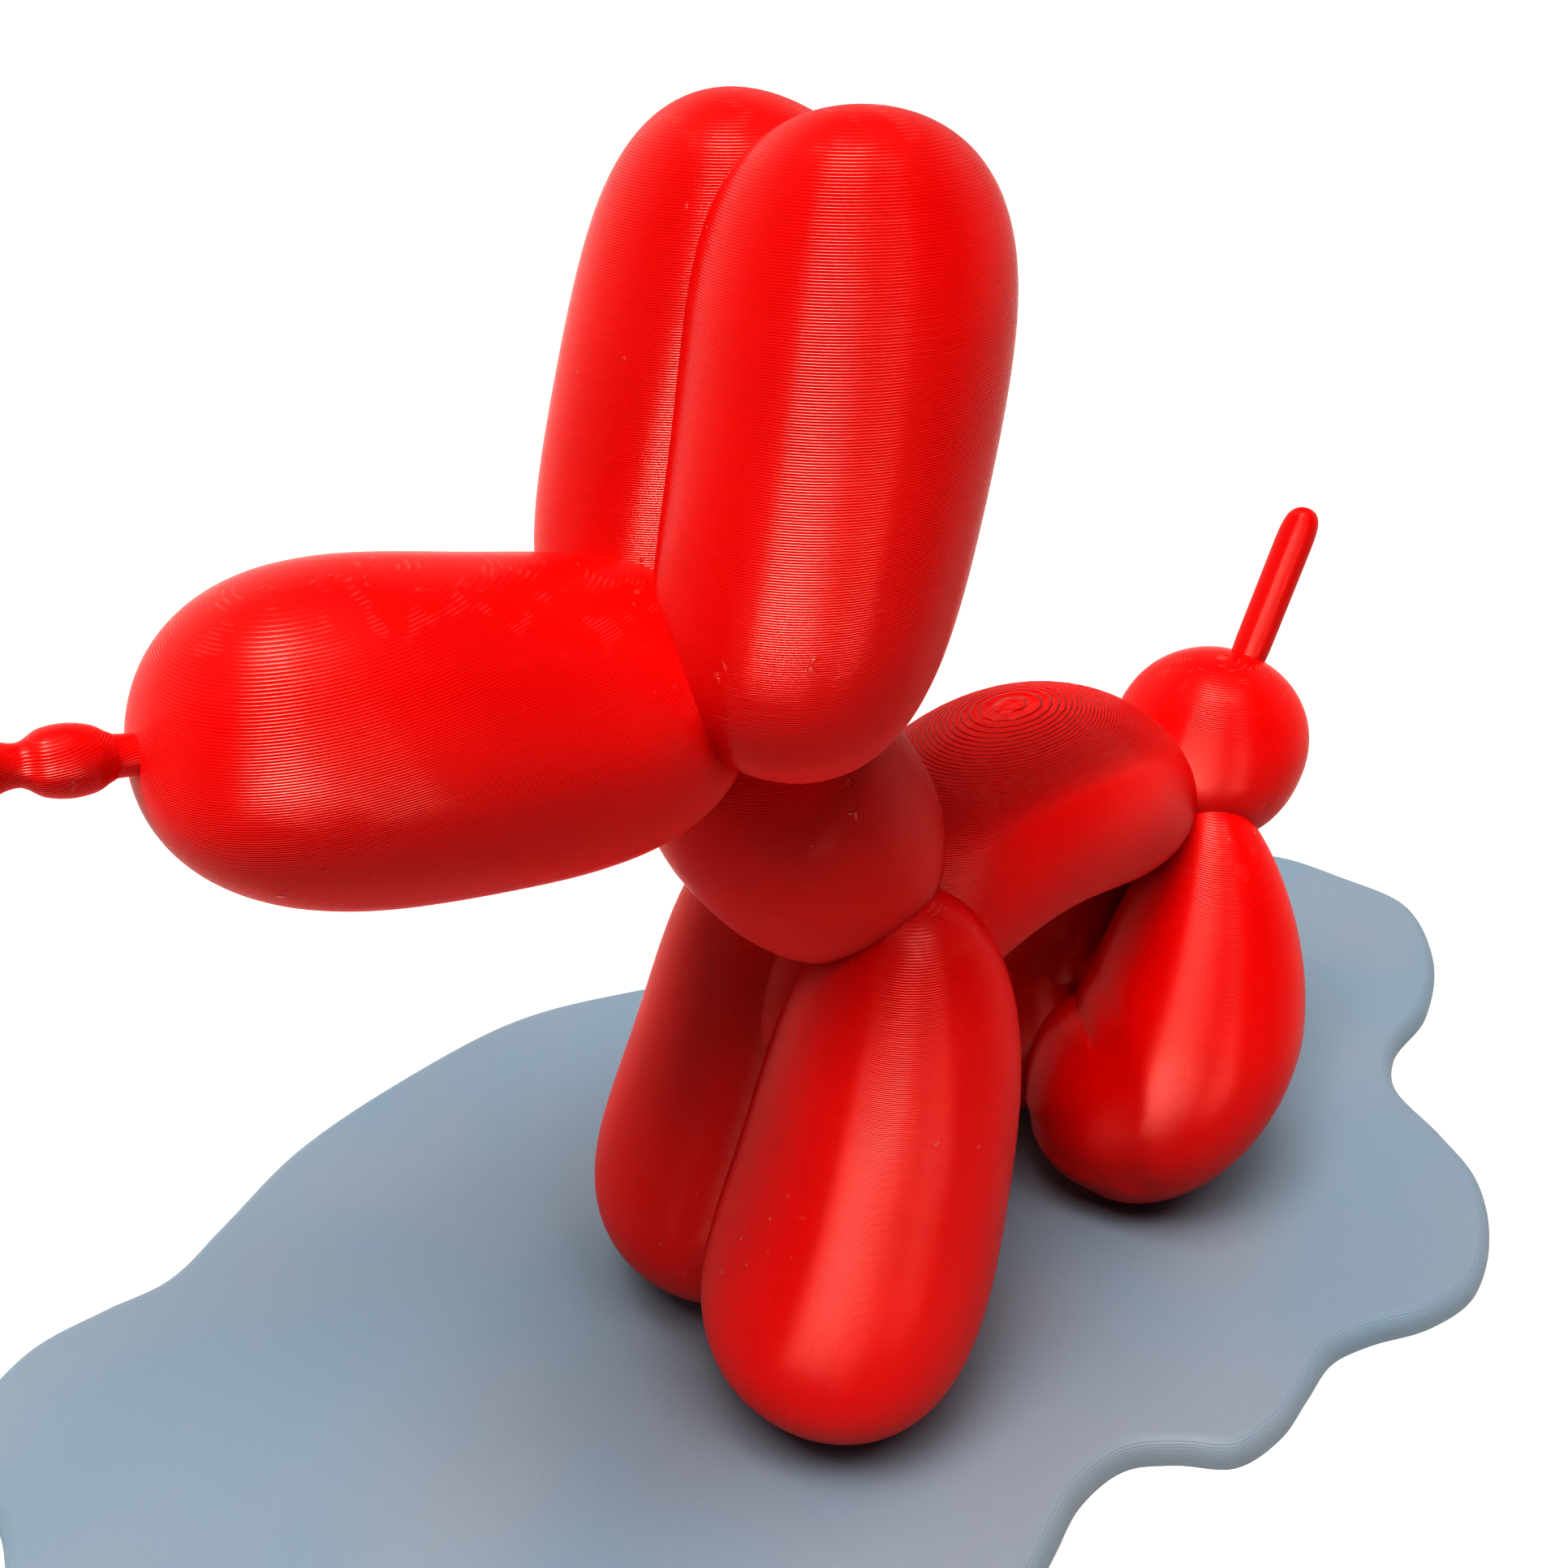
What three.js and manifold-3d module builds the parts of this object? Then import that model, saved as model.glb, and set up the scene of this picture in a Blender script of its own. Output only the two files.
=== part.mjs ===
// A balloon poodle standing on a puddle, as a small printed figure.
// Millimetres, Z up. The dog looks along -Y and its left side is +X.
// The origin is under the middle of the puddle, on the surface it stands on.

import * as THREE from 'three';
import { mergeVertices } from 'three/addons/utils/BufferGeometryUtils.js';
import Module from 'manifold-3d';

// Sizes of the figure and of the puddle
const FIGURE_HEIGHT = 141.4;
const FOOT_SINK = 0.5;
const GLUE_LINE = 0.1;
const FIGURE_FROM_MIDDLE_X = 9.3;
const FIGURE_FROM_MIDDLE_Y = -33.2;
const PUDDLE_LENGTH = 232.5;
const PUDDLE_WIDTH = 126.6;
const PUDDLE_THICKNESS = 3.5;
const PUDDLE_EDGE_ROUND = 2.4;

// How finely the round forms are faceted
const SIDES = 22;
const RINGS = 16;
const THIN_SIDES = 12;
const BEND_SAMPLES = 200;
const EDGE_STEPS = 4;
const OUTLINE_STEPS = 112;

// The bubbles. Places and thicknesses are shares of the figure's height,
// seen from the point on the puddle midway between the front feet.
// The middle line of a bubble runs from 'from' to 'to' and leans to 'bow'
// with the weight 'pull'. 'square' straightens the sides, 'swell' thickens
// the 'to' end, and 'blunt' flattens both ends. 'pair' adds the mirror image.
const BUBBLES = {
  nose: {
    from: [0, -0.3381, 0.7562], bow: [0, -0.1616, 0.6876], to: [0, 0.015, 0.6647],
    thick: 0.1965, square: 3.33, swell: -0.017, blunt: 2.15,
  },
  ear: {
    from: [0.0657, -0.0072, 0.6434], bow: [0.0818, 0.047, 0.8218], to: [0.0343, 0.1005, 1],
    thick: 0.184, square: 4.1, swell: 0.029, blunt: 2.15, pair: true,
  },
  neck: {
    from: [0, -0.0057, 0.6604], bow: [0, 0.0733, 0.5407], to: [0, 0.1524, 0.4211],
    thick: 0.1903, square: 2.48, swell: 0, blunt: 2,
  },
  front_leg: {
    from: [0.0715, 0.1251, 0.4827], bow: [0.0802, 0.1085, 0.2471], to: [0.0875, 0.0043, 0.0116],
    thick: 0.2193, square: 3.64, swell: 0.226, blunt: 2.15, pair: true,
  },
  body: {
    from: [0, 0.0522, 0.3012], bow: [0, 0.2683, 0.5385], to: [0, 0.513, 0.3505],
    pull: 1.5, thick: 0.1989, square: 2, swell: 0.042, blunt: 2.1,
  },
  hind_leg: {
    from: [0.0411, 0.5236, 0.3947], bow: [0.1419, 0.4687, 0.1414], to: [0.0547, 0.3761, 0.0212],
    pull: 1.146, thick: 0.2087, square: 1.63, swell: 0.236, blunt: 2.1, pair: true,
  },
  hind_foot: {
    from: [0.084, 0.4037, 0.0074], bow: [0.0683, 0.4104, 0.111], to: [0.0526, 0.4171, 0.2146],
    thick: 0.1725, square: 2.28, swell: 0, blunt: 2.1, pair: true,
  },
  tail_bubble: {
    from: [0, 0.5271, 0.3279], bow: [0, 0.5698, 0.4113], to: [0, 0.6124, 0.4947],
    thick: 0.1812, square: 2.2, swell: 0, blunt: 2,
  },
  tail_end: {
    from: [0, 0.606, 0.4724], bow: [0, 0.6353, 0.5492], to: [0, 0.6647, 0.6259],
    thick: 0.0335, square: 9, swell: 0, blunt: 2.1, sides: THIN_SIDES,
  },
};

// The nozzle on the nose, from its root inside the nose to its rolled lip.
// Each pair is a distance along it and a radius, as shares of the height.
const NOZZLE_DROP = 0.0095;
const NOZZLE_ROOT = 0.04;
const NOZZLE_PROFILE = [
  [-NOZZLE_ROOT, 0.0108],
  [0.004, 0.0108],
  [0.011, 0.0121],
  [0.019, 0.0165],
  [0.03, 0.0182],
  [0.041, 0.0165],
  [0.0485, 0.0118],
  [0.053, 0.0107],
  [0.06, 0.0126],
  [0.069, 0.0185],
  [0.0745, 0.0225],
  [0.0785, 0.0222],
  [0.0805, 0.0185],
];

// The puddle's wavy rim, drawn from above and then fitted to its own length
// and width. The list starts behind the dog and runs past its left side.
const PUDDLE_RIM = [
  [-10, 148], [2, 149.5], [13, 140.5], [20, 127], [22.3, 114], [27, 106.5], [36.5, 103],
  [44, 99.5], [50.3, 92], [54, 82], [53, 73], [49.6, 64.5], [48.2, 58.5], [49.2, 52],
  [50.3, 45], [49.2, 37.5], [44.6, 32.3], [41.3, 27], [41, 19.5], [43.2, 12.5], [45.6, 4],
  [44.4, -7], [38, -17], [31.5, -25], [27.5, -35], [24, -46], [16.5, -56], [7, -63.5],
  [-1.5, -71], [-11, -78.5], [-22, -81.3], [-33, -80.2], [-43, -82.2], [-51, -79],
  [-56, -71.5], [-56.4, -62], [-56, -54], [-60.5, -45], [-67.3, -32], [-71.3, -14],
  [-72.4, 8], [-66.5, 27], [-57, 46], [-49.5, 65], [-45, 84], [-41.5, 103], [-37, 121],
  [-31, 135], [-21.5, 144.5],
];

const wasm = await Module();
wasm.setup();

// A middle line that bends toward one point, harder when the pull is higher
class BowCurve extends THREE.Curve {
  constructor(from, bow, to, pull) {
    super();
    this.from = from;
    this.bow = bow;
    this.to = to;
    this.pull = pull;
    this.arcLengthDivisions = BEND_SAMPLES;
  }

  getPoint(t, target = new THREE.Vector3()) {
    const a = (1 - t) ** 2;
    const b = 2 * t * (1 - t) * this.pull;
    const c = t ** 2;
    target.copy(this.from).multiplyScalar(a);
    target.addScaledVector(this.bow, b);
    target.addScaledVector(this.to, c);
    return target.divideScalar(a + b + c);
  }
}

function place(share) {
  return new THREE.Vector3(...share).multiplyScalar(FIGURE_HEIGHT);
}

// A closed solid from a three.js geometry, with its shared corners merged
function solidOf(geometry) {
  const bare = geometry.clone();
  bare.deleteAttribute('normal');
  bare.deleteAttribute('uv');
  const merged = mergeVertices(bare, 1e-4);
  const corners = merged.getIndex().array;
  const kept = [];
  for (let i = 0; i < corners.length; i += 3) {
    const [a, b, c] = [corners[i], corners[i + 1], corners[i + 2]];
    if (a !== b && b !== c && c !== a) kept.push(a, b, c);
  }
  const mesh = new wasm.Mesh({
    numProp: 3,
    vertProperties: new Float32Array(merged.getAttribute('position').array),
    triVerts: new Uint32Array(kept),
  });
  return new wasm.Manifold(mesh);
}

function geometryOf(solid) {
  const mesh = solid.getMesh();
  const geometry = new THREE.BufferGeometry();
  geometry.setAttribute('position', new THREE.BufferAttribute(mesh.vertProperties, 3));
  geometry.setIndex(new THREE.BufferAttribute(mesh.triVerts, 1));
  geometry.computeVertexNormals();
  return geometry;
}

// A straight bubble of unit length turned on the Y axis, then bent so that
// its axis follows the middle line
function bubbleGeometry(b) {
  const radius = (b.thick / 2) * FIGURE_HEIGHT;
  const profile = [];
  for (let i = 0; i <= RINGS; i += 1) {
    const along = 0.5 - 0.5 * Math.cos((Math.PI * i) / RINGS);
    const side = 2 * along - 1;
    const fall = Math.max(0, 1 - Math.abs(side) ** b.square) ** (1 / b.blunt);
    const isEnd = i === 0 || i === RINGS;
    profile.push(new THREE.Vector2(isEnd ? 0 : radius * (1 + b.swell * side) * fall, along));
  }
  const geometry = new THREE.LatheGeometry(profile, b.sides ?? SIDES);
  const line = new BowCurve(place(b.from), place(b.bow), place(b.to), b.pull ?? 1);
  const across = new THREE.Vector3(1, 0, 0);
  const up = new THREE.Vector3();
  const point = new THREE.Vector3();
  const position = geometry.getAttribute('position');
  for (let i = 0; i < position.count; i += 1) {
    const along = position.getY(i);
    const ahead = line.getTangentAt(along);
    up.crossVectors(ahead, across).normalize();
    const side = new THREE.Vector3().crossVectors(up, ahead);
    point.copy(line.getPointAt(along));
    point.addScaledVector(side, position.getX(i));
    point.addScaledVector(up, -position.getZ(i));
    position.setXYZ(i, point.x, point.y, point.z);
  }
  return geometry;
}

// The nozzle is turned about the nose's own axis, a little below its tip
function nozzleGeometry() {
  const profile = NOZZLE_PROFILE.map(([along, radius]) => (
    new THREE.Vector2(radius * FIGURE_HEIGHT, along * FIGURE_HEIGHT)
  ));
  profile.unshift(new THREE.Vector2(0, profile[0].y));
  profile.push(new THREE.Vector2(0, profile[profile.length - 1].y));
  const geometry = new THREE.LatheGeometry(profile, THIN_SIDES);
  const tip = place(BUBBLES.nose.from);
  const ahead = tip.clone().sub(place(BUBBLES.nose.to)).normalize();
  const down = new THREE.Vector3(1, 0, 0).cross(ahead).normalize();
  geometry.applyQuaternion(new THREE.Quaternion().setFromUnitVectors(new THREE.Vector3(0, 1, 0), ahead));
  const root = tip.addScaledVector(down, NOZZLE_DROP * FIGURE_HEIGHT);
  return geometry.translate(root.x, root.y, root.z);
}

// The dog: all bubbles joined, then its feet cut flat where they are glued on
function dogGeometry() {
  let dog = solidOf(nozzleGeometry());
  for (const b of Object.values(BUBBLES)) {
    dog = dog.add(solidOf(bubbleGeometry(b)));
    if (b.pair) {
      const flip = ([x, y, z]) => [-x, y, z];
      dog = dog.add(solidOf(bubbleGeometry({ ...b, from: flip(b.from), bow: flip(b.bow), to: flip(b.to) })));
    }
  }
  const cutSize = 4 * FIGURE_HEIGHT;
  const below = new THREE.BoxGeometry(cutSize, cutSize, cutSize);
  below.translate(0, 0, FOOT_SINK + GLUE_LINE - cutSize / 2);
  return geometryOf(dog.subtract(solidOf(below)));
}

// The rim as a smooth closed line of the puddle's own length and width
function rimPoints() {
  const drawn = PUDDLE_RIM.map(([x, y]) => new THREE.Vector3(x, y, 0));
  const curve = new THREE.CatmullRomCurve3(drawn, true, 'centripetal');
  const points = curve.getSpacedPoints(OUTLINE_STEPS).slice(0, OUTLINE_STEPS);
  const box = new THREE.Box3().setFromPoints(points);
  const middle = box.getCenter(new THREE.Vector3());
  const size = box.getSize(new THREE.Vector3());
  const fitted = points.map((p) => new THREE.Vector2(
    ((p.x - middle.x) * PUDDLE_WIDTH) / size.x,
    ((p.y - middle.y) * PUDDLE_LENGTH) / size.y,
  ));
  return THREE.ShapeUtils.isClockWise(fitted) ? fitted.reverse() : fitted;
}

function insetRim(rim, inset) {
  return rim.map((p, i) => {
    const before = rim[(i + rim.length - 1) % rim.length];
    const after = rim[(i + 1) % rim.length];
    const inward = new THREE.Vector2(before.y - after.y, after.x - before.x).normalize();
    return p.clone().addScaledVector(inward, inset);
  });
}

// The puddle: a flat plate whose upper edge is rounded all the way round
function puddleGeometry() {
  const rim = rimPoints();
  const levels = [[0, 0]];
  for (let i = 0; i <= EDGE_STEPS; i += 1) {
    const turn = (Math.PI / 2) * (i / EDGE_STEPS);
    const height = PUDDLE_THICKNESS - PUDDLE_EDGE_ROUND * (1 - Math.sin(turn));
    levels.push([height, PUDDLE_EDGE_ROUND * (1 - Math.cos(turn))]);
  }
  const positions = [];
  for (const [height, inset] of levels) {
    for (const p of insetRim(rim, inset)) positions.push(p.x, p.y, height);
  }
  const n = rim.length;
  const index = [];
  for (let k = 0; k < levels.length - 1; k += 1) {
    for (let i = 0; i < n; i += 1) {
      const j = (i + 1) % n;
      const [a, b, c, d] = [k * n + i, k * n + j, (k + 1) * n + j, (k + 1) * n + i];
      index.push(a, b, c, a, c, d);
    }
  }
  const top = (levels.length - 1) * n;
  const topRim = insetRim(rim, PUDDLE_EDGE_ROUND);
  for (const [a, b, c] of THREE.ShapeUtils.triangulateShape(topRim, [])) {
    index.push(top + a, top + b, top + c);
  }
  for (const [a, b, c] of THREE.ShapeUtils.triangulateShape(rim, [])) index.push(a, c, b);
  const geometry = new THREE.BufferGeometry();
  geometry.setAttribute('position', new THREE.Float32BufferAttribute(positions, 3));
  geometry.setIndex(index);
  geometry.computeVertexNormals();
  return geometry;
}

const redPlastic = new THREE.MeshStandardMaterial({ color: 0xe0201c, roughness: 0.35, metalness: 0 });
const greyBluePlastic = new THREE.MeshStandardMaterial({ color: 0x8fa3b5, roughness: 0.6, metalness: 0 });

const puddle = new THREE.Mesh(puddleGeometry(), greyBluePlastic);
puddle.name = 'puddle_base';

const dog = new THREE.Mesh(dogGeometry(), redPlastic);
dog.name = 'balloon_poodle';
dog.position.set(FIGURE_FROM_MIDDLE_X, FIGURE_FROM_MIDDLE_Y, PUDDLE_THICKNESS - FOOT_SINK);

const model = new THREE.Group();
model.add(puddle, dog);

export default model;
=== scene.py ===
"""Looks of the balloon poodle: a satin red print on a matte grey-blue puddle.

Metres, in the frame of the CAD: the dog looks along -Y, its left side is +X,
and the origin is under the middle of the puddle.
"""
import math

import bmesh
import bpy
import numpy as np
from mathutils import Matrix, Vector


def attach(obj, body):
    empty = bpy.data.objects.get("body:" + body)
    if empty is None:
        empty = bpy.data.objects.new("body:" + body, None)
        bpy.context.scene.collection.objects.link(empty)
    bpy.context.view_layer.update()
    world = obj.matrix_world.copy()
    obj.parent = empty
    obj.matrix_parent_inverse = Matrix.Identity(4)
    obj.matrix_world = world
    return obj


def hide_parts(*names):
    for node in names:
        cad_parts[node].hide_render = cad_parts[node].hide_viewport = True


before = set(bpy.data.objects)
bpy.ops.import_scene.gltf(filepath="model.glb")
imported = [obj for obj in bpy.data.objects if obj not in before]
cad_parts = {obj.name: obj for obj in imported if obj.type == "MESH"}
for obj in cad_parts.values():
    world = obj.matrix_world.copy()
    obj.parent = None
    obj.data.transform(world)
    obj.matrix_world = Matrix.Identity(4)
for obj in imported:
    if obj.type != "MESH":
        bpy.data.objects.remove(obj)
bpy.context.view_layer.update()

# Sizes, in metres
FIGURE_HEIGHT = 0.1414
FOOT_SINK = 0.0005
GLUE_LINE = 0.0001
PUDDLE_THICKNESS = 0.0035
PUDDLE_EDGE_ROUND = 0.0024
PUDDLE_LENGTH = 0.2325
PUDDLE_WIDTH = 0.1266
FIGURE_PLACE = Vector((0.0093, -0.0332, PUDDLE_THICKNESS - FOOT_SINK))
LAYER = 0.0002

# How finely the curves are divided
SIDES = 72
RINGS = 76
BEND_SAMPLES = 600
BEND_SAMPLES_NEAR = 200
NOZZLE_SIDES = 40
NOZZLE_STEPS = 8
RIM_STEPS = 560
RIM_SAMPLES = 40
EDGE_STEPS = 10

# Faces that meet at more than this many degrees keep a sharp edge
DOG_SHARP = 24
PUDDLE_SHARP = 40

# The bubbles, as in the CAD: start, bow and end of the middle line, and the
# thickness, as shares of the figure's height
BUBBLES = {
    "nose": dict(
        line=((0, -0.3381, 0.7562), (0, -0.1616, 0.6876), (0, 0.015, 0.6647)),
        thick=0.1965, square=3.33, swell=-0.017, blunt=2.15),
    "ear": dict(
        line=((0.0657, -0.0072, 0.6434), (0.0818, 0.047, 0.8218), (0.0343, 0.1005, 1)),
        thick=0.184, square=4.1, swell=0.029, blunt=2.15, pair=True),
    "neck": dict(
        line=((0, -0.0057, 0.6604), (0, 0.0733, 0.5407), (0, 0.1524, 0.4211)),
        thick=0.1903, square=2.48, swell=0, blunt=2),
    "front_leg": dict(
        line=((0.0715, 0.1251, 0.4827), (0.0802, 0.1085, 0.2471), (0.0875, 0.0043, 0.0116)),
        thick=0.2193, square=3.64, swell=0.226, blunt=2.15, pair=True),
    "body": dict(
        line=((0, 0.0522, 0.3012), (0, 0.2683, 0.5385), (0, 0.513, 0.3505)),
        pull=1.5, thick=0.1989, square=2, swell=0.042, blunt=2.1),
    "hind_leg": dict(
        line=((0.0411, 0.5236, 0.3947), (0.1419, 0.4687, 0.1414), (0.0547, 0.3761, 0.0212)),
        pull=1.146, thick=0.2087, square=1.63, swell=0.236, blunt=2.1, pair=True),
    "hind_foot": dict(
        line=((0.084, 0.4037, 0.0074), (0.0683, 0.4104, 0.111), (0.0526, 0.4171, 0.2146)),
        thick=0.1725, square=2.28, swell=0, blunt=2.1, pair=True),
    "tail_bubble": dict(
        line=((0, 0.5271, 0.3279), (0, 0.5698, 0.4113), (0, 0.6124, 0.4947)),
        thick=0.1812, square=2.2, swell=0, blunt=2),
    "tail_end": dict(
        line=((0, 0.606, 0.4724), (0, 0.6353, 0.5492), (0, 0.6647, 0.6259)),
        thick=0.0335, square=9, swell=0, blunt=2.1),
}

# The nozzle, as in the CAD: distance from the tip of the nose and radius, as
# shares of the figure's height
NOZZLE_DROP = 0.0095
NOZZLE_ROOT = 0.04
NOZZLE_PROFILE = (
    (-NOZZLE_ROOT, 0.0108), (0.004, 0.0108), (0.011, 0.0121), (0.019, 0.0165), (0.03, 0.0182),
    (0.041, 0.0165), (0.0485, 0.0118), (0.053, 0.0107), (0.06, 0.0126), (0.069, 0.0185),
    (0.0745, 0.0225), (0.0785, 0.0222), (0.0805, 0.0185),
)

# The crease of the hind legs is smoothed where both skins are this near, as a
# share of the radius, and above this height over the dog's own zero
KNEE_REACH = 0.14
KNEE_ROUNDS = 30
KNEE_FLOOR = 0.009

# The puddle's rim seen from above, as in the CAD, fitted to its length and width
PUDDLE_RIM = (
    (-10, 148), (2, 149.5), (13, 140.5), (20, 127), (22.3, 114), (27, 106.5), (36.5, 103),
    (44, 99.5), (50.3, 92), (54, 82), (53, 73), (49.6, 64.5), (48.2, 58.5), (49.2, 52),
    (50.3, 45), (49.2, 37.5), (44.6, 32.3), (41.3, 27), (41, 19.5), (43.2, 12.5), (45.6, 4),
    (44.4, -7), (38, -17), (31.5, -25), (27.5, -35), (24, -46), (16.5, -56), (7, -63.5),
    (-1.5, -71), (-11, -78.5), (-22, -81.3), (-33, -80.2), (-43, -82.2), (-51, -79),
    (-56, -71.5), (-56.4, -62), (-56, -54), (-60.5, -45), (-67.3, -32), (-71.3, -14),
    (-72.4, 8), (-66.5, 27), (-57, 46), (-49.5, 65), (-45, 84), (-41.5, 103), (-37, 121),
    (-31, 135), (-21.5, 144.5),
)


# Meshes
def mesh_from(name, verts, faces):
    mesh = bpy.data.meshes.new(name)
    mesh.from_pydata([tuple(v) for v in verts], [], faces)
    mesh.update()
    return mesh


def link(name, mesh):
    piece = bpy.data.objects.new(name, mesh)
    bpy.context.scene.collection.objects.link(piece)
    return piece


def outward(mesh):
    """The same mesh with all its faces turned outward."""
    bm = bmesh.new()
    bm.from_mesh(mesh)
    bmesh.ops.recalc_face_normals(bm, faces=bm.faces)
    bm.to_mesh(mesh)
    bm.free()
    return mesh


def smooth_shade(mesh, sharp_degrees):
    mesh.polygons.foreach_set("use_smooth", [True] * len(mesh.polygons))
    mesh.set_sharp_from_angle(angle=math.radians(sharp_degrees))


def combine(base, tools, operation):
    """Changes the base object's mesh by a boolean with each tool, and deletes the tools."""
    for tool in tools:
        cut = base.modifiers.new("join", "BOOLEAN")
        cut.operation = operation
        cut.solver = "MANIFOLD"
        cut.object = tool
    depsgraph = bpy.context.evaluated_depsgraph_get()
    mesh = bpy.data.meshes.new_from_object(base.evaluated_get(depsgraph))
    base.modifiers.clear()
    base.data = mesh
    for tool in tools:
        bpy.data.objects.remove(tool)


def band_faces(ring, sides):
    """The faces between a ring of points and the next ring."""
    faces = []
    for i in range(sides):
        j = (i + 1) % sides
        faces.append((ring * sides + i, ring * sides + j, (ring + 1) * sides + j, (ring + 1) * sides + i))
    return faces


def tube_faces(rings, sides):
    """Faces of a closed tube of rings. The last two points are the poles of its first and last ring."""
    faces = []
    for ring in range(rings - 1):
        faces += band_faces(ring, sides)
    first_pole = rings * sides
    last_pole = first_pole + 1
    last_ring = (rings - 1) * sides
    for i in range(sides):
        j = (i + 1) % sides
        faces.append((first_pole, j, i))
        faces.append((last_pole, last_ring + i, last_ring + j))
    return faces


def catmull(values, at):
    """A smooth line through values, read at places counted in values."""
    padded = np.concatenate([[2 * values[0] - values[1]], values, [2 * values[-1] - values[-2]]])
    cell = np.clip(np.floor(at).astype(int), 0, len(values) - 2)
    t = at - cell
    p0, p1, p2, p3 = (padded[cell + k] for k in range(4))
    return 0.5 * (2 * p1 + (p2 - p0) * t + (2 * p0 - 5 * p1 + 4 * p2 - p3) * t ** 2
                  + (3 * p1 - p0 - 3 * p2 + p3) * t ** 3)


# The dog
def bow_line(bubble, count):
    """Points of a bubble's middle line, and how far along it each lies, from 0 to 1."""
    start, bow, end = (np.array(p, float) * FIGURE_HEIGHT for p in bubble["line"])
    t = np.linspace(0, 1, count)[:, None]
    a, b, c = (1 - t) ** 2, 2 * t * (1 - t) * bubble.get("pull", 1), t ** 2
    points = (a * start + b * bow + c * end) / (a + b + c)
    run = np.concatenate([[0], np.cumsum(np.linalg.norm(np.diff(points, axis=0), axis=1))])
    return points, run / run[-1]


def bubble_radius(bubble, along, least=0.0):
    """A bubble's radius at places from 0 to 1 along its middle line."""
    side = 2 * along - 1
    fall = np.maximum(least, 1 - np.abs(side) ** bubble["square"]) ** (1 / bubble["blunt"])
    return bubble["thick"] / 2 * FIGURE_HEIGHT * (1 + bubble["swell"] * side) * fall


def bubble_mesh(name, bubble, flip):
    """Rings round a bubble's middle line, flipped to the dog's other side if asked."""
    points, run = bow_line(bubble, BEND_SAMPLES)
    along = 0.5 - 0.5 * np.cos(np.pi * np.arange(0, RINGS + 1) / RINGS)
    radius = bubble_radius(bubble, along)
    middle = np.stack([np.interp(along, run, points[:, k]) for k in range(3)], axis=1)
    slope = np.gradient(points, run, axis=0)
    ahead = np.stack([np.interp(along, run, slope[:, k]) for k in range(3)], axis=1)
    ahead /= np.linalg.norm(ahead, axis=1)[:, None]
    up = np.cross(ahead, (1.0, 0.0, 0.0))
    up /= np.linalg.norm(up, axis=1)[:, None]
    across = np.cross(up, ahead)
    turn = 2 * np.pi * np.arange(SIDES) / SIDES
    verts = []
    for k in range(1, RINGS):
        ring = across[k] * np.cos(turn)[:, None] + up[k] * np.sin(turn)[:, None]
        verts.append(middle[k] + ring * radius[k])
    verts = np.concatenate(verts + [middle[:1], middle[-1:]])
    if flip:
        verts = verts * (-1, 1, 1)
    return mesh_from(name, verts, tube_faces(RINGS - 1, SIDES))


def nozzle_mesh():
    """The tied nozzle at the tip of the nose, turned round the nose's own direction."""
    tip, _, back = (np.array(p, float) for p in BUBBLES["nose"]["line"])
    ahead = tip - back
    ahead /= np.linalg.norm(ahead)
    across = np.array((1.0, 0.0, 0.0))
    down = np.cross(across, ahead)
    root = tip + down * NOZZLE_DROP
    profile = np.array(NOZZLE_PROFILE)
    last = len(profile) - 1
    fine = np.linspace(0, last, NOZZLE_STEPS * last + 1)
    along = catmull(profile[:, 0], fine)
    radius = catmull(profile[:, 1], fine)
    turn = 2 * np.pi * np.arange(NOZZLE_SIDES) / NOZZLE_SIDES
    circle = across * np.cos(turn)[:, None] + down * np.sin(turn)[:, None]
    verts = [(root + ahead * a + circle * r) * FIGURE_HEIGHT for a, r in zip(along, radius)]
    poles = [(root + ahead * a) * FIGURE_HEIGHT for a in (along[0], along[-1])]
    verts = np.concatenate(verts + [np.array(poles)])
    return mesh_from("nozzle", verts, tube_faces(len(along), NOZZLE_SIDES))


def depth_in(bubble, points):
    """How far from a bubble's middle line points lie, as a share of its radius there: 1 is its skin."""
    line, run = bow_line(bubble, BEND_SAMPLES_NEAR)
    apart = np.linalg.norm(points[:, None, :] - line[None], axis=2)
    return (apart / bubble_radius(bubble, run, 1e-9)).min(axis=1)


def soften_knee(mesh):
    """Rounds the crease where each hind leg folds back over its own foot."""
    points = np.empty(len(mesh.vertices) * 3)
    mesh.vertices.foreach_get("co", points)
    points = points.reshape(-1, 3)
    folded = points * np.where(points[:, :1] < 0, (-1, 1, 1), 1)
    near = points[:, 2] > KNEE_FLOOR
    for name in ("hind_leg", "hind_foot"):
        near &= np.abs(depth_in(BUBBLES[name], folded) - 1) < KNEE_REACH
    bm = bmesh.new()
    bm.from_mesh(mesh)
    bm.verts.ensure_lookup_table()
    chosen = [bm.verts[i] for i in np.nonzero(near)[0]]
    for _ in range(KNEE_ROUNDS):
        bmesh.ops.smooth_vert(
            bm, verts=chosen, factor=0.5, use_axis_x=True, use_axis_y=True, use_axis_z=True)
    bm.to_mesh(mesh)
    bm.free()


def block_below(height):
    """A large block whose top is level at this height."""
    size = 4 * FIGURE_HEIGHT
    bm = bmesh.new()
    bmesh.ops.create_cube(bm, size=size)
    bmesh.ops.translate(bm, verts=bm.verts, vec=(0, 0, height - size / 2))
    mesh = bpy.data.meshes.new("below")
    bm.to_mesh(mesh)
    bm.free()
    return link("below", mesh)


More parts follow.
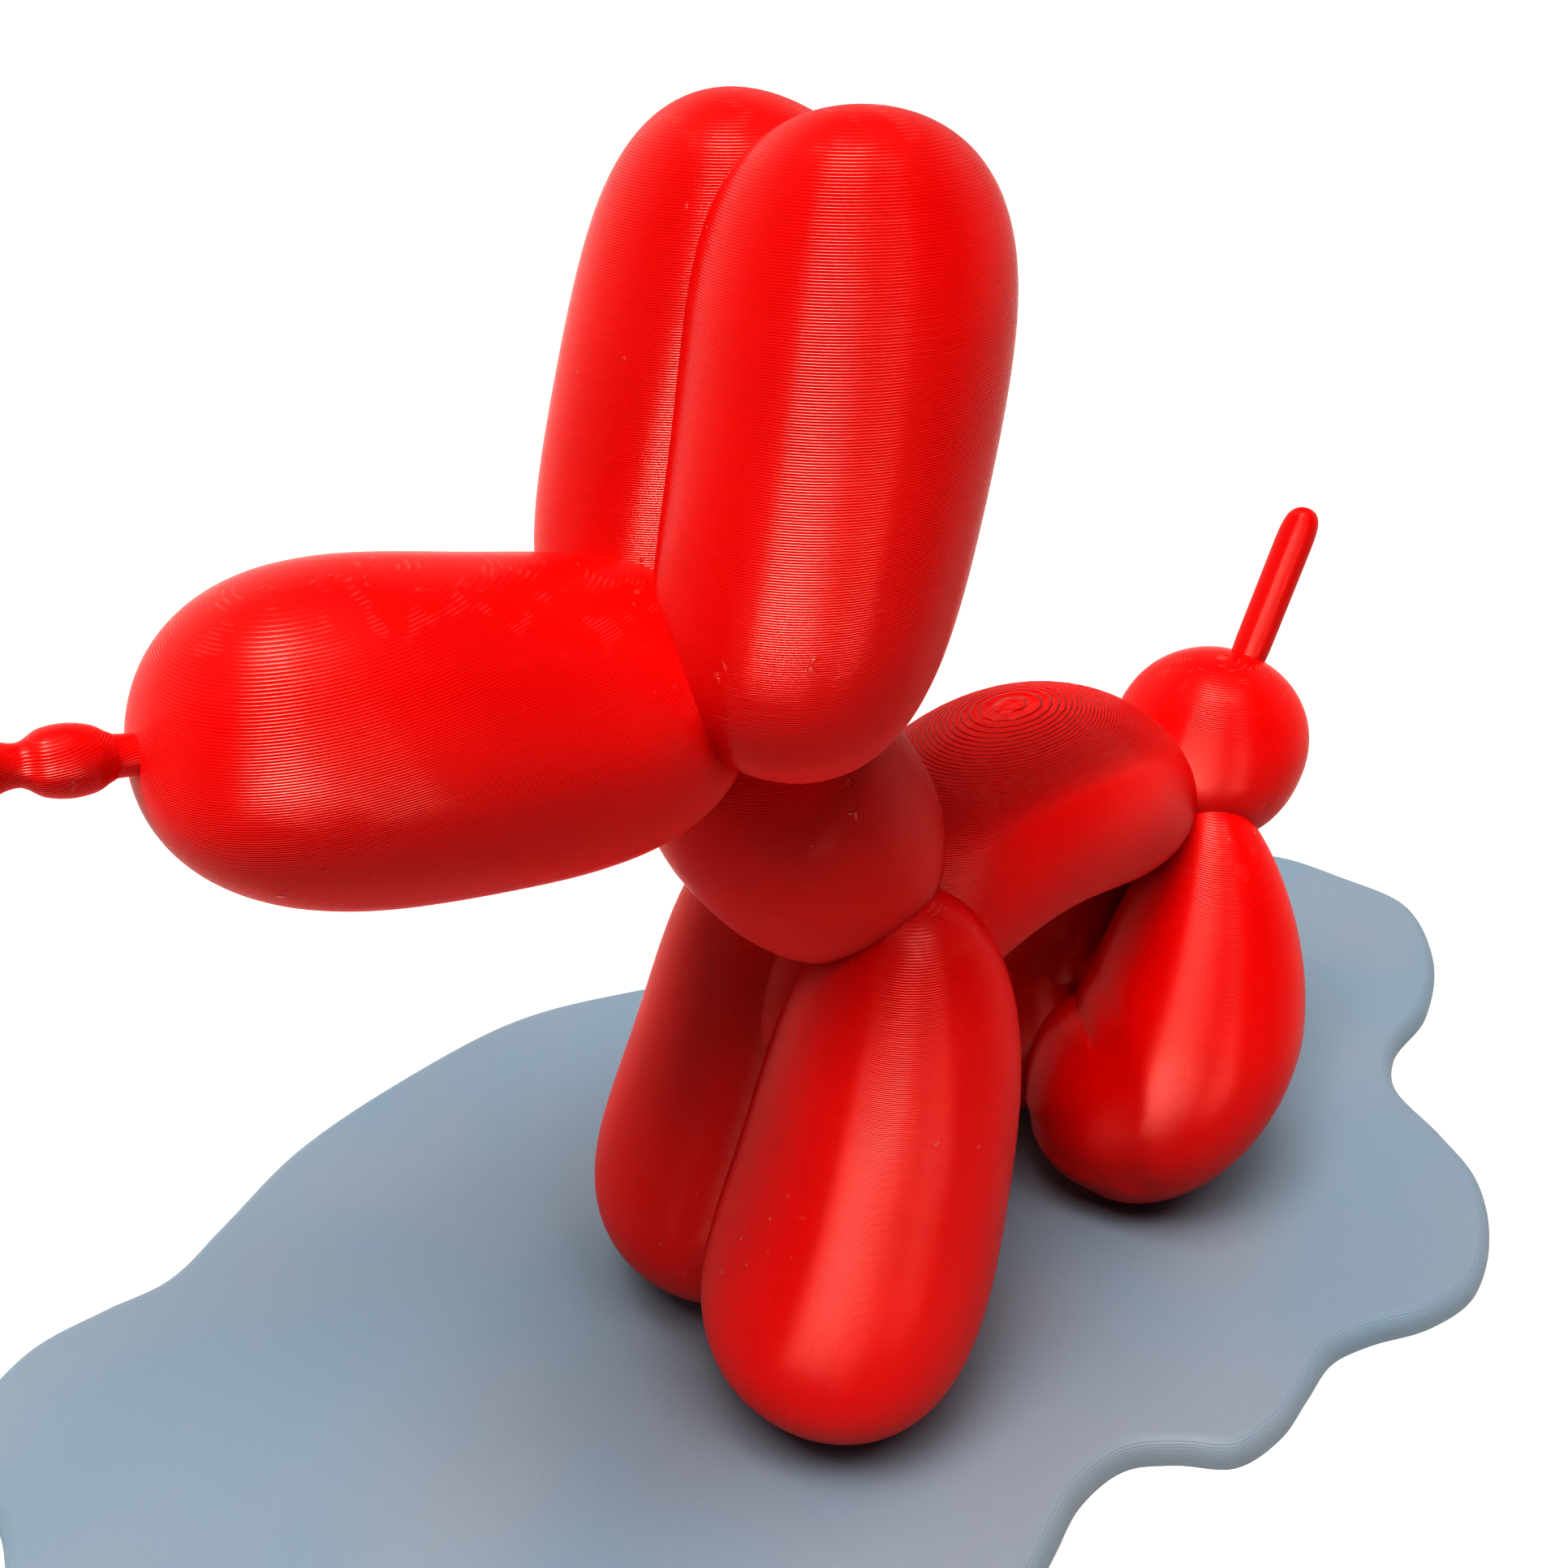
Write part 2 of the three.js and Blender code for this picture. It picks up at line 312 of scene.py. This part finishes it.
def make_dog():
    """All bubbles and the nozzle in one skin, with flat soles that rest on the glue line."""
    bubbles = []
    for name, bubble in BUBBLES.items():
        bubbles.append(link(name, outward(bubble_mesh(name, bubble, False))))
        if bubble.get("pair"):
            bubbles.append(link(name + "_2", outward(bubble_mesh(name, bubble, True))))
    dog = link("poodle", outward(nozzle_mesh()))
    combine(dog, bubbles, "UNION")
    combine(dog, [block_below(FOOT_SINK + GLUE_LINE)], "DIFFERENCE")
    soften_knee(dog.data)
    dog.data.transform(Matrix.Translation(FIGURE_PLACE))
    smooth_shade(dog.data, DOG_SHARP)
    return dog


# The puddle
def rim_line():
    """Evenly spaced points of the smooth closed rim, fitted to the puddle's length and width."""
    drawn = np.array(PUDDLE_RIM, float)
    count = len(drawn)
    fine = []
    for i in range(count):
        p0, p1, p2, p3 = (drawn[(i + k) % count] for k in range(-1, 3))
        d0, d1, d2 = (np.linalg.norm(b - a) ** 0.5 for a, b in ((p0, p1), (p1, p2), (p2, p3)))
        slope_1 = ((p1 - p0) / d0 - (p2 - p0) / (d0 + d1) + (p2 - p1) / d1) * d1
        slope_2 = ((p2 - p1) / d1 - (p3 - p1) / (d1 + d2) + (p3 - p2) / d2) * d1
        t = np.linspace(0, 1, RIM_SAMPLES, endpoint=False)[:, None]
        fine.append((2 * t ** 3 - 3 * t ** 2 + 1) * p1 + (t ** 3 - 2 * t ** 2 + t) * slope_1
                    + (3 * t ** 2 - 2 * t ** 3) * p2 + (t ** 3 - t ** 2) * slope_2)
    fine = np.concatenate(fine)
    closed = np.concatenate([fine, fine[:1]])
    run = np.concatenate([[0], np.cumsum(np.linalg.norm(np.diff(closed, axis=0), axis=1))])
    at = np.linspace(0, run[-1], RIM_STEPS, endpoint=False)
    rim = np.stack([np.interp(at, run, closed[:, k]) for k in range(2)], axis=1)
    low, high = rim.min(axis=0), rim.max(axis=0)
    rim = (rim - (low + high) / 2) * (PUDDLE_WIDTH, PUDDLE_LENGTH) / (high - low)
    twice_area = np.sum(rim[:, 0] * np.roll(rim[:, 1], -1) - np.roll(rim[:, 0], -1) * rim[:, 1])
    return rim if twice_area > 0 else rim[::-1]


def make_puddle():
    """A flat plate with a rounded upper edge."""
    rim = rim_line()
    along = np.roll(rim, -1, axis=0) - np.roll(rim, 1, axis=0)
    along /= np.linalg.norm(along, axis=1)[:, None]
    inward = np.stack([-along[:, 1], along[:, 0]], axis=1)
    levels = [(0.0, 0.0)]
    for k in range(EDGE_STEPS + 1):
        turn = math.pi / 2 * k / EDGE_STEPS
        height = PUDDLE_THICKNESS - PUDDLE_EDGE_ROUND * (1 - math.sin(turn))
        inset = PUDDLE_EDGE_ROUND * (1 - math.cos(turn))
        levels.append((height, inset))
    verts = []
    for height, inset in levels:
        verts.append(np.column_stack([rim + inward * inset, np.full(RIM_STEPS, height)]))
    faces = []
    for ring in range(len(levels) - 1):
        faces += band_faces(ring, RIM_STEPS)
    top = (len(levels) - 1) * RIM_STEPS
    faces.append(tuple(range(top, top + RIM_STEPS)))
    faces.append(tuple(reversed(range(RIM_STEPS))))
    puddle = link("puddle", mesh_from("puddle", np.concatenate(verts), faces))
    smooth_shade(puddle.data, PUDDLE_SHARP)
    return puddle


# Materials
class Nodes:
    """Short hand for building the nodes of a material or of the world."""

    def __init__(self, tree):
        self.tree = tree
        self.shader = None

    def put(self, socket, value):
        if isinstance(value, bpy.types.NodeSocket):
            self.tree.links.new(value, socket)
        elif value is not None:
            socket.default_value = value

    def math(self, op, a, b=None):
        node = self.tree.nodes.new("ShaderNodeMath")
        node.operation = op
        for socket, value in zip(node.inputs, (a, b)):
            self.put(socket, value)
        return node.outputs[0]

    def total(self, *values):
        whole = values[0]
        for value in values[1:]:
            whole = self.math("ADD", whole, value)
        return whole

    def product(self, *values):
        whole = values[0]
        for value in values[1:]:
            whole = self.math("MULTIPLY", whole, value)
        return whole

    def inverse(self, value):
        return self.math("SUBTRACT", 1.0, value)

    def vector(self, op, a, b=None):
        node = self.tree.nodes.new("ShaderNodeVectorMath")
        node.operation = op
        self.put(node.inputs[0], a)
        self.put(node.inputs["Scale" if op == "SCALE" else 1], b)
        return node.outputs["Value" if op == "DISTANCE" else "Vector"]

    def xyz(self, vector):
        node = self.tree.nodes.new("ShaderNodeSeparateXYZ")
        self.put(node.inputs[0], vector)
        return node.outputs

    def noise(self, vector, scale, detail=2.0, rough=0.5, dims="3D"):
        node = self.tree.nodes.new("ShaderNodeTexNoise")
        node.noise_dimensions = dims
        self.put(node.inputs["W" if dims == "1D" else "Vector"], vector)
        self.put(node.inputs["Scale"], scale)
        self.put(node.inputs["Detail"], detail)
        self.put(node.inputs["Roughness"], rough)
        return node.outputs["Fac"]

    def ramp(self, value, low, high, to_low=0.0, to_high=1.0):
        """A smooth step from to_low, below low, to to_high, above high."""
        node = self.tree.nodes.new("ShaderNodeMapRange")
        node.interpolation_type = "SMOOTHSTEP"
        for socket, v in zip(node.inputs, (value, low, high, to_low, to_high)):
            self.put(socket, v)
        return node.outputs[0]

    def blend(self, share, a, b):
        """Colour a where the share is 0, colour b where it is 1."""
        node = self.tree.nodes.new("ShaderNodeMix")
        node.data_type = "RGBA"
        self.put(node.inputs[0], share)
        self.put(node.inputs[6], (*a, 1) if isinstance(a, tuple) else a)
        self.put(node.inputs[7], (*b, 1) if isinstance(b, tuple) else b)
        return node.outputs[2]

    def bump(self, height, distance, strength=1.0, normal=None):
        node = self.tree.nodes.new("ShaderNodeBump")
        self.put(node.inputs["Height"], height)
        self.put(node.inputs["Distance"], distance)
        self.put(node.inputs["Strength"], strength)
        self.put(node.inputs["Normal"], normal)
        return node.outputs[0]

    def normal(self):
        return self.tree.nodes.new("ShaderNodeNewGeometry").outputs["Normal"]

    def place(self, output="Object"):
        return self.tree.nodes.new("ShaderNodeTexCoord").outputs[output]

    def look(self, colour, roughness, normal=None):
        self.put(self.shader.inputs["Base Color"], colour)
        self.put(self.shader.inputs["Roughness"], roughness)
        self.put(self.shader.inputs["Normal"], normal)


def new_material(name):
    """A material with one principled shader, and its nodes."""
    material = bpy.data.materials.new(name)
    material.use_nodes = True
    n = Nodes(material.node_tree)
    n.tree.nodes.clear()
    out = n.tree.nodes.new("ShaderNodeOutputMaterial")
    n.shader = n.tree.nodes.new("ShaderNodeBsdfPrincipled")
    n.tree.links.new(n.shader.outputs[0], out.inputs["Surface"])
    return material, n


# The red print. A bead's face leans by these slopes at its foot and at its top
BEAD_LEAN_FOOT = 0.4
BEAD_LEAN_TOP = 1.15
BEAD_CURVE = 0.75
# A surface is a wall below the first upward share of its normal and a flat top above the second
WALL_TO_TOP = (0.5, 0.95)
# The top of the back, where the layers end in clear rings that fade between two distances
SUMMIT = (0.0093, 0.010, 0.066)
RINGS_FADE = (0.009, 0.028)
RING_DEPTH = 3.6
RING_DEPTH_AWAY = 0.06
# Marks of the print: how many come to a metre, how high they stand in metres,
# how many layers a line wobbles, and how much of the paler red they show; that paler red is a painted
# glint on the blobs and scuffs
WOBBLES = 70
WOBBLE_LAYERS = 0.35
SPECKS = 900
SPECK_HEIGHT = 0.00018
SPECK_FIELDS = 60
GRAINS = 5200
GRAIN_HEIGHT = 0.00001
SCUFFS_AND_GLINTS = 420
SCUFF_GLINT_SHARE = 0.30
BLOB_GLINT_SHARE = 0.5
WORN_SHARE = 0.10
UNEVEN_LAYERS = 0.04
SHADES = 45
RED_DEEP = (0.74, 0.0012, 0.0010)
RED_LIGHT = (0.80, 0.0030, 0.0016)
RED_WORN = (0.84, 0.02, 0.015)
# Pale pink laid on the blobs and step scuffs: a painted glint, not the plastic's own colour
RED_PALE_GLINT = (0.95, 0.30, 0.24)
RED_GLOSS_TINT = (1.0, 0.85, 0.76, 1)
RED_IOR = 1.58
RED_ROUGHNESS = 0.12
RED_ROUGHER_SHADE = 0.07
RED_ROUGHER_TOP = 0.14


def red_print():
    """Satin red plastic printed in level layers."""
    material, n = new_material("red_print")
    place = n.place()
    height = n.xyz(place)[2]
    normal = n.normal()
    upward = n.xyz(normal)[2]
    flat_top = n.ramp(upward, *WALL_TO_TOP)

    # One layer runs from 0 to 1 of 'within'; 'layer' is its number
    wobble = n.product(n.math("SUBTRACT", n.noise(place, WOBBLES), 0.5), WOBBLE_LAYERS)
    level = n.math("ADD", n.math("DIVIDE", height, LAYER), wobble)
    within = n.math("FRACT", level)
    layer = n.math("FLOOR", level)

    # On a wall each layer is a rounded bead, whose face leans down at its foot and up at its top
    level_way = n.vector("NORMALIZE", n.vector("CROSS_PRODUCT", (0.0, 0.0, 1.0), normal))
    up_wall = n.vector("NORMALIZE", n.vector("CROSS_PRODUCT", normal, level_way))
    turned_up = n.product(n.math("POWER", within, BEAD_CURVE), BEAD_LEAN_TOP + BEAD_LEAN_FOOT)
    lean = n.product(n.math("SUBTRACT", turned_up, BEAD_LEAN_FOOT), n.inverse(flat_top))
    bead = n.vector("NORMALIZE", n.vector("ADD", normal, n.vector("SCALE", up_wall, lean)))

    # On a flat top each layer is a level tread that ends in a rounded step
    stair = n.product(n.inverse(within), n.ramp(within, 0.0, 0.3), flat_top)
    from_summit = n.vector("DISTANCE", place, SUMMIT)
    ring_depth = n.ramp(from_summit, *RINGS_FADE, RING_DEPTH, RING_DEPTH_AWAY)
    uneven = n.noise(layer, 0.9, detail=1.0, dims="1D")
    relief = n.math("ADD", n.product(stair, ring_depth), n.product(uneven, UNEVEN_LAYERS))
    bumped = n.bump(relief, LAYER, 1.0, bead)

    # Small blobs and strings left by the nozzle, in a few fields, and a fine grain
    speck = n.ramp(n.noise(place, SPECKS, detail=1.0), 0.70, 0.80)
    field = n.ramp(n.noise(place, SPECK_FIELDS, detail=1.0), 0.52, 0.72)
    blobs = n.product(speck, field)
    bumped = n.bump(blobs, SPECK_HEIGHT, 1.0, bumped)
    bumped = n.bump(n.noise(place, GRAINS), GRAIN_HEIGHT, 0.5, bumped)

    # Pale scuffs along the steps of the flat tops, with painted glints where the steps catch the light
    scuff_and_glint = n.ramp(n.noise(place, SCUFFS_AND_GLINTS, detail=1.0), 0.56, 0.68)
    on_step = n.ramp(within, 0.0, 0.5, 1.0, 0.0)
    scuff_and_glint = n.product(scuff_and_glint, on_step, n.ramp(upward, 0.6, 0.8), SCUFF_GLINT_SHARE)

    # The red varies in soft patches, and from layer to layer
    shade = n.noise(place, SHADES, detail=3)
    red = n.blend(n.ramp(shade, 0.3, 0.7), RED_DEEP, RED_LIGHT)
    worn_layer = n.ramp(n.noise(layer, 0.37, rough=0.6, dims="1D"), 0.55, 0.8)
    red = n.blend(n.product(worn_layer, WORN_SHARE), red, RED_WORN)
    # The blobs and step scuffs turn pale: painted glints on real marks
    red = n.blend(n.math("MAXIMUM", n.product(blobs, BLOB_GLINT_SHARE), scuff_and_glint), red, RED_PALE_GLINT)
    n.shader.inputs["IOR"].default_value = RED_IOR
    n.shader.inputs["Specular Tint"].default_value = RED_GLOSS_TINT
    rougher = (n.product(shade, RED_ROUGHER_SHADE), n.product(flat_top, RED_ROUGHER_TOP))
    n.look(red, n.total(RED_ROUGHNESS, *rougher), bumped)
    return material


# The grey-blue print. Its top is laid in lanes of this width
LANE = 0.00042
DIAGONAL = 0.7071
LANE_DEPTH = 0.00006
LANE_SHARE = 0.25
FINE_GRAINS = 3500
FINE_GRAIN_HEIGHT = 0.00002
PATCHES = 28
MOTTLES = 700
DULL_PATCHES = 90
BLUE_COOL = (0.290, 0.376, 0.452)
BLUE_WARM = (0.330, 0.380, 0.440)
BLUE_MOTTLE = (0.30, 0.36, 0.43)
MOTTLE_SHARE = 0.12
BLUE_ROUGHNESS = 0.46
BLUE_DULLER = 0.12


def grey_blue_print():
    """Matte grey-blue plastic, its top face laid in fine diagonal lines, its edge in level layers."""
    material, n = new_material("grey_blue_print")
    place = n.place()
    x, y, z = n.xyz(place)
    upward = n.xyz(n.normal())[2]
    flat = n.ramp(n.math("ABSOLUTE", upward), 0.97, 0.995)
    lane = n.math("DIVIDE", n.product(n.math("ADD", x, y), DIAGONAL), LANE)
    ridge = n.math("ABSOLUTE", n.math("SUBTRACT", n.math("FRACT", lane), 0.5))
    lane_tone = n.noise(n.math("FLOOR", lane), 0.8, detail=1.0, dims="1D")
    lanes = n.product(n.math("ADD", ridge, lane_tone), flat, LANE_SHARE)
    step = n.math("FRACT", n.math("DIVIDE", z, LAYER))
    layers = n.product(n.math("ABSOLUTE", n.math("SUBTRACT", step, 0.5)), n.inverse(flat))
    bumped = n.bump(n.math("ADD", lanes, layers), LANE_DEPTH)
    bumped = n.bump(n.noise(place, FINE_GRAINS), FINE_GRAIN_HEIGHT, 0.5, bumped)
    blue = n.blend(n.ramp(n.noise(place, PATCHES), 0.3, 0.7), BLUE_COOL, BLUE_WARM)
    mottle = n.ramp(n.noise(place, MOTTLES, detail=3), 0.35, 0.65)
    blue = n.blend(n.product(mottle, MOTTLE_SHARE), blue, BLUE_MOTTLE)
    dull = n.product(n.noise(place, DULL_PATCHES), BLUE_DULLER)
    n.look(blue, n.math("ADD", BLUE_ROUGHNESS, dull), bumped)
    return material


FLOOR_PALE = (0.90, 0.89, 0.86)
FLOOR_PALER = (0.93, 0.92, 0.90)
FLOOR_ROUGHNESS = 0.6


def pale_floor():
    material, n = new_material("pale_floor")
    tone = n.noise(n.place(), 3)
    n.look(n.blend(tone, FLOOR_PALE, FLOOR_PALER), n.math("ADD", FLOOR_ROUGHNESS, n.product(tone, 0.1)))
    return material


# Pieces
dog = make_dog()
dog.data.materials.clear()
dog.data.materials.append(red_print())
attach(dog, "root")
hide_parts("balloon_poodle")

puddle = make_puddle()
puddle.data.materials.append(grey_blue_print())
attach(puddle, "root")
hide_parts("puddle_base")

# The floor lies a hair below the puddle's underside
FLOOR_REACH = 9
FLOOR_DROP = 0.00002
corners = [(x * FLOOR_REACH, y * FLOOR_REACH, 0) for x, y in ((-1, -1), (1, -1), (1, 1), (-1, 1))]
floor = link("floor", mesh_from("floor", corners, [(0, 1, 2, 3)]))
floor.location.z = -FLOOR_DROP
floor.data.materials.append(pale_floor())

# Camera: its place in metres, its turns in radians
CAMERA_PLACE = Vector((0.102632, -0.095909, 0.157780))
CAMERA_TURN = 0.918363
CAMERA_DOWN = 0.563601
CAMERA_ROLL = -0.016267
FOCAL_OVER_WIDTH = 0.88559
SENSOR_MM = 36.0
NEAREST = 0.005
FARTHEST = 20.0


def camera_axes():
    """The camera's right, up and ahead directions."""
    ahead = Vector((-math.sin(CAMERA_TURN) * math.cos(CAMERA_DOWN),
                    math.cos(CAMERA_TURN) * math.cos(CAMERA_DOWN), -math.sin(CAMERA_DOWN)))
    right = Vector((math.cos(CAMERA_TURN), math.sin(CAMERA_TURN), 0))
    up = right.cross(ahead)
    roll_right = right * math.cos(CAMERA_ROLL) + up * math.sin(CAMERA_ROLL)
    roll_up = up * math.cos(CAMERA_ROLL) - right * math.sin(CAMERA_ROLL)
    return roll_right, roll_up, ahead


def add_camera():
    data = bpy.data.cameras.new("camera")
    data.sensor_width = SENSOR_MM
    data.lens = SENSOR_MM * FOCAL_OVER_WIDTH
    data.clip_start = NEAREST
    data.clip_end = FARTHEST
    camera = bpy.data.objects.new("camera", data)
    right, up, ahead = camera_axes()
    turn = Matrix((right, up, -ahead)).transposed().to_4x4()
    camera.matrix_world = Matrix.Translation(CAMERA_PLACE) @ turn
    bpy.context.scene.collection.objects.link(camera)
    bpy.context.scene.camera = camera


# Light: a white room with bright lamp panels in its ceiling, one metre above
# the dog. East and north give a panel's middle there, turn is in degrees, and
# the half sizes and the soft edge are in metres
LAMPS = (
    dict(east=0.026, north=-0.286, turn=19, half_wide=0.19, half_long=0.24, soft=0.02, bright=16.0),
    dict(east=0.309, north=-0.188, turn=19, half_wide=0.11, half_long=0.24, soft=0.03, bright=9.0),
    dict(east=0.48, north=0.12, turn=12, half_wide=0.12, half_long=0.16, soft=0.03, bright=9.0),
)
# Walls seen from the dog, in degrees: the middle of the compass range, with 0
# along +X and 90 along +Y, half that range, the lowest and highest angle and
# how soft the edges are
WALLS = (
    dict(middle=130, half=75, low=-10, high=40, soft=30, bright=0.6),
    dict(middle=-155, half=45, low=-5, high=50, soft=30, bright=0.55),
)
# The ceiling brightens between two angles above the horizon
CEILING_FROM = 48
CEILING_TO = 72
CEILING_BRIGHT = 0.7
ROOM_BRIGHT = 0.02
LIGHT_COLOUR = (1.0, 0.985, 0.955, 1)
# The white that the camera sees behind the floor
BACKDROP_COLOUR = (1.0, 0.995, 0.965, 1)
BACKDROP_BRIGHT = 1.05
# A gamma under 1 deepens the dark tones
CONTRAST = 0.62


def inside(n, distance, half, soft):
    """1 within half a width of a middle, 0 outside it, with a soft edge."""
    return n.ramp(distance, half - soft / 2, half + soft / 2, 1.0, 0.0)


def wall_glow(n, compass, height, wall):
    turn = n.math("COSINE", n.math("SUBTRACT", compass, math.radians(wall["middle"])))
    apart = n.product(n.math("ARCCOSINE", turn), 180 / math.pi)
    across = inside(n, apart, wall["half"], wall["soft"])
    above = n.ramp(height, wall["low"] - wall["soft"] / 2, wall["low"] + wall["soft"] / 2)
    below = inside(n, height, wall["high"], wall["soft"])
    return n.product(across, above, below, wall["bright"])


def lamp_glow(n, east, north, lamp):
    right = n.math("SUBTRACT", east, lamp["east"])
    far = n.math("SUBTRACT", north, lamp["north"])
    cos, sin = math.cos(math.radians(lamp["turn"])), math.sin(math.radians(lamp["turn"]))
    wide = n.math("ABSOLUTE", n.math("ADD", n.product(right, cos), n.product(far, sin)))
    long = n.math("ABSOLUTE", n.math("SUBTRACT", n.product(far, cos), n.product(right, sin)))
    panel = n.product(inside(n, wide, lamp["half_wide"], lamp["soft"]),
                      inside(n, long, lamp["half_long"], lamp["soft"]))
    return n.product(panel, lamp["bright"])


def add_world():
    world = bpy.data.worlds.new("studio")
    world.use_nodes = True
    n = Nodes(world.node_tree)
    x, y, z = n.xyz(n.place("Generated"))
    compass = n.math("ARCTAN2", y, x)
    height = n.product(n.math("ARCSINE", z), 180 / math.pi)
    ceiling = n.ramp(height, CEILING_FROM, CEILING_TO, 0.0, CEILING_BRIGHT)
    up = n.math("MAXIMUM", z, 0.01)
    east, north = n.math("DIVIDE", x, up), n.math("DIVIDE", y, up)
    walls = [wall_glow(n, compass, height, wall) for wall in WALLS]
    lamps = [lamp_glow(n, east, north, lamp) for lamp in LAMPS]
    light = n.tree.nodes["Background"]
    light.inputs["Color"].default_value = LIGHT_COLOUR
    n.put(light.inputs["Strength"], n.total(ceiling, ROOM_BRIGHT, *walls, *lamps))
    backdrop = n.tree.nodes.new("ShaderNodeBackground")
    backdrop.inputs["Color"].default_value = BACKDROP_COLOUR
    backdrop.inputs["Strength"].default_value = BACKDROP_BRIGHT
    either = n.tree.nodes.new("ShaderNodeMixShader")
    n.put(either.inputs[0], n.tree.nodes.new("ShaderNodeLightPath").outputs["Is Camera Ray"])
    n.put(either.inputs[1], light.outputs[0])
    n.put(either.inputs[2], backdrop.outputs[0])
    n.put(n.tree.nodes["World Output"].inputs["Surface"], either.outputs[0])
    bpy.context.scene.world = world


add_camera()
add_world()
bpy.context.scene.view_settings.view_transform = "Standard"
bpy.context.scene.view_settings.look = "None"
bpy.context.scene.view_settings.gamma = CONTRAST
